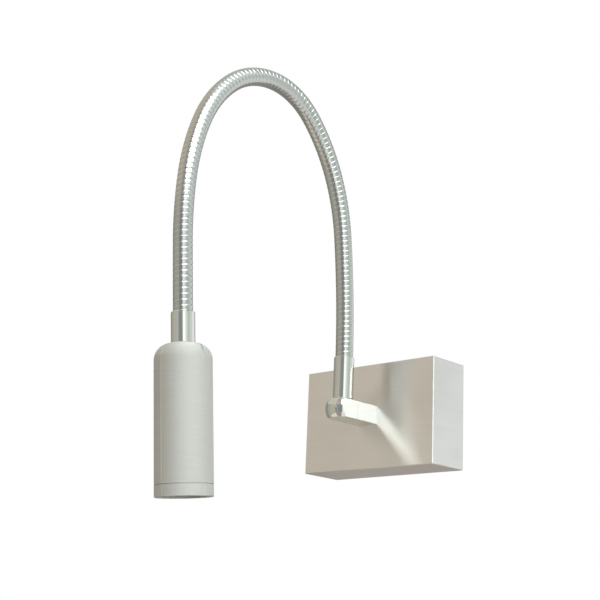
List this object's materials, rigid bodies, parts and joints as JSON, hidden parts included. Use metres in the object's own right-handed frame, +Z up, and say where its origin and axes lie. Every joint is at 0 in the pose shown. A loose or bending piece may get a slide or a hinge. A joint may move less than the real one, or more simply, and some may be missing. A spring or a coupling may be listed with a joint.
{
  "type": "wall bracket light",
  "caption": "Wall light: rectangular brushed box with a short swivel arm, a bendable wound gooseneck in an arch and a slim cylindrical lamp head.",
  "frame": {"origin": "centre of the box, on the wall", "axes": "+X along the wall to the right as seen from the room, +Y into the wall, +Z up"},
  "size_m": [0.12, 0.2436, 0.3155],
  "materials": {
    "brushed_aluminium": "fine brushed, satin",
    "satin_aluminium": "turned and brushed, satin",
    "polished_nickel": "polished",
    "satin_cap": "faced, satin",
    "wound_steel": "wound wire, satin nickel",
    "zinc_plate": "zinc plated",
    "black_steel": "blackened",
    "brass": "plain",
    "white_plastic": "moulded",
    "ceramic": "unglazed ceramic",
    "black_rubber": "matt",
    "silicone": "matt",
    "fibre": "pressed fibre",
    "lead_insulation": "soft insulation, one lead brown and one blue",
    "earth_insulation": "soft insulation, green and yellow",
    "cable_sheath": "soft sheath",
    "reflector_coating": "coated glass reflector",
    "lamp_glass": "frosted",
    "clear_glass": "clear"
  },
  "bodies": {
    "wall_unit": {"wall_plate": "zinc_plate", "box_cover": "brushed_aluminium", "cover_screws": "zinc_plate", "cable_grommet": "black_rubber", "transformer": "white_plastic", "transformer_screws": "zinc_plate", "terminal_block": "white_plastic", "terminal_screws": "brass", "earth_screw": "brass", "earth_tag": "zinc_plate", "earth_lead": "earth_insulation", "mains_leads": "lead_insulation", "lamp_lead": "cable_sheath", "arm_stub": "polished_nickel", "arm_washer": "zinc_plate", "arm_nut": "brass", "stop_screw": "black_steel"},
    "swivel": {"swivel_washer": "fibre", "swivel_block": "polished_nickel", "swivel_o_ring": "black_rubber", "block_cap": "satin_cap", "arm_cable": "cable_sheath", "lower_ferrule": "polished_nickel", "gooseneck_1": "wound_steel", "lamp_cable_1": "cable_sheath"},
    "stretch_2": {"gooseneck_2": "wound_steel", "lamp_cable_2": "cable_sheath"},
    "stretch_3": {"gooseneck_3": "wound_steel", "lamp_cable_3": "cable_sheath"},
    "stretch_4": {"gooseneck_4": "wound_steel", "lamp_cable_4": "cable_sheath"},
    "stretch_5": {"gooseneck_5": "wound_steel", "lamp_cable_5": "cable_sheath"},
    "stretch_6": {"gooseneck_6": "wound_steel", "lamp_cable_6": "cable_sheath"},
    "stretch_7": {"gooseneck_7": "wound_steel", "lamp_cable_7": "cable_sheath"},
    "stretch_8": {"gooseneck_8": "wound_steel", "lamp_cable_8": "cable_sheath"},
    "stretch_9": {"gooseneck_9": "wound_steel", "lamp_cable_9": "cable_sheath"},
    "head": {"gooseneck_10": "wound_steel", "lamp_cable_10": "cable_sheath", "head_ferrule": "polished_nickel", "head_cable": "cable_sheath", "head_nut": "brass", "head_shell": "satin_aluminium", "holder_bracket": "zinc_plate", "holder_screws": "zinc_plate", "lampholder": "ceramic", "lamp_pins": "zinc_plate", "lamp_reflector": "reflector_coating", "lamp_capsule": "lamp_glass"},
    "lens": {"front_glass": "clear_glass", "glass_gasket": "silicone"},
    "ring": {"front_ring": "satin_aluminium", "glass_clip": "zinc_plate"}
  },
  "joints": [
    {"name": "arm_swivel", "type": "hinge", "parent": "wall_unit", "child": "swivel", "pos_m": [0, -0.06585, 0.0015], "axis": [0, -1, 0], "range_deg": [-90, 90]},
    {"name": "gooseneck_lower_bend", "type": "hinge", "parent": "swivel", "child": "stretch_2", "pos_m": [0, -0.06745, 0.08506], "axis": [1, 0, 0], "range_deg": [-6, 6]},
    {"name": "lower_bend_2", "type": "hinge", "parent": "stretch_2", "child": "stretch_3", "pos_m": [0, -0.07204, 0.13062], "axis": [1, 0, 0], "range_deg": [-6, 6]},
    {"name": "lower_bend_3", "type": "hinge", "parent": "stretch_3", "child": "stretch_4", "pos_m": [0, -0.08499, 0.17436], "axis": [1, 0, 0], "range_deg": [-6, 6]},
    {"name": "lower_bend_4", "type": "hinge", "parent": "stretch_4", "child": "stretch_5", "pos_m": [0, -0.11191, 0.21108], "axis": [1, 0, 0], "range_deg": [-6, 6]},
    {"name": "gooseneck_upper_bend", "type": "hinge", "parent": "stretch_5", "child": "stretch_6", "pos_m": [0, -0.15376, 0.22652], "axis": [1, 0, 0], "range_deg": [-10, 3]},
    {"name": "upper_bend_2", "type": "hinge", "parent": "stretch_6", "child": "stretch_7", "pos_m": [0, -0.1956, 0.21004], "axis": [1, 0, 0], "range_deg": [-10, 3]},
    {"name": "upper_bend_3", "type": "hinge", "parent": "stretch_7", "child": "stretch_8", "pos_m": [0, -0.22193, 0.17312], "axis": [1, 0, 0], "range_deg": [-10, 3]},
    {"name": "upper_bend_4", "type": "hinge", "parent": "stretch_8", "child": "stretch_9", "pos_m": [0, -0.2322, 0.12866], "axis": [1, 0, 0], "range_deg": [-10, 3]},
    {"name": "upper_bend_5", "type": "hinge", "parent": "stretch_9", "child": "head", "pos_m": [0, -0.232, 0.08291], "axis": [1, 0, 0], "range_deg": [-10, 3]},
    {"name": "front_ring_travel", "type": "slide", "parent": "head", "child": "lens", "axis": [0, 0.0958, -0.9954], "range_m": [0, 0.003]},
    {"name": "front_ring_turn", "type": "hinge", "parent": "lens", "child": "ring", "pos_m": [0, -0.2172, -0.07289], "axis": [0, 0.0958, -0.9954], "range_deg": [0, 1080]}
  ],
  "couplings": [
    {"joint": "lower_bend_2", "follows": "gooseneck_lower_bend", "ratio": 1},
    {"joint": "lower_bend_3", "follows": "gooseneck_lower_bend", "ratio": 1},
    {"joint": "lower_bend_4", "follows": "gooseneck_lower_bend", "ratio": 1},
    {"joint": "upper_bend_2", "follows": "gooseneck_upper_bend", "ratio": 1},
    {"joint": "upper_bend_3", "follows": "gooseneck_upper_bend", "ratio": 1},
    {"joint": "upper_bend_4", "follows": "gooseneck_upper_bend", "ratio": 1},
    {"joint": "upper_bend_5", "follows": "gooseneck_upper_bend", "ratio": 1},
    {"joint": "front_ring_turn", "follows": "front_ring_travel", "rad_per_m": 6283.2}
  ]
}
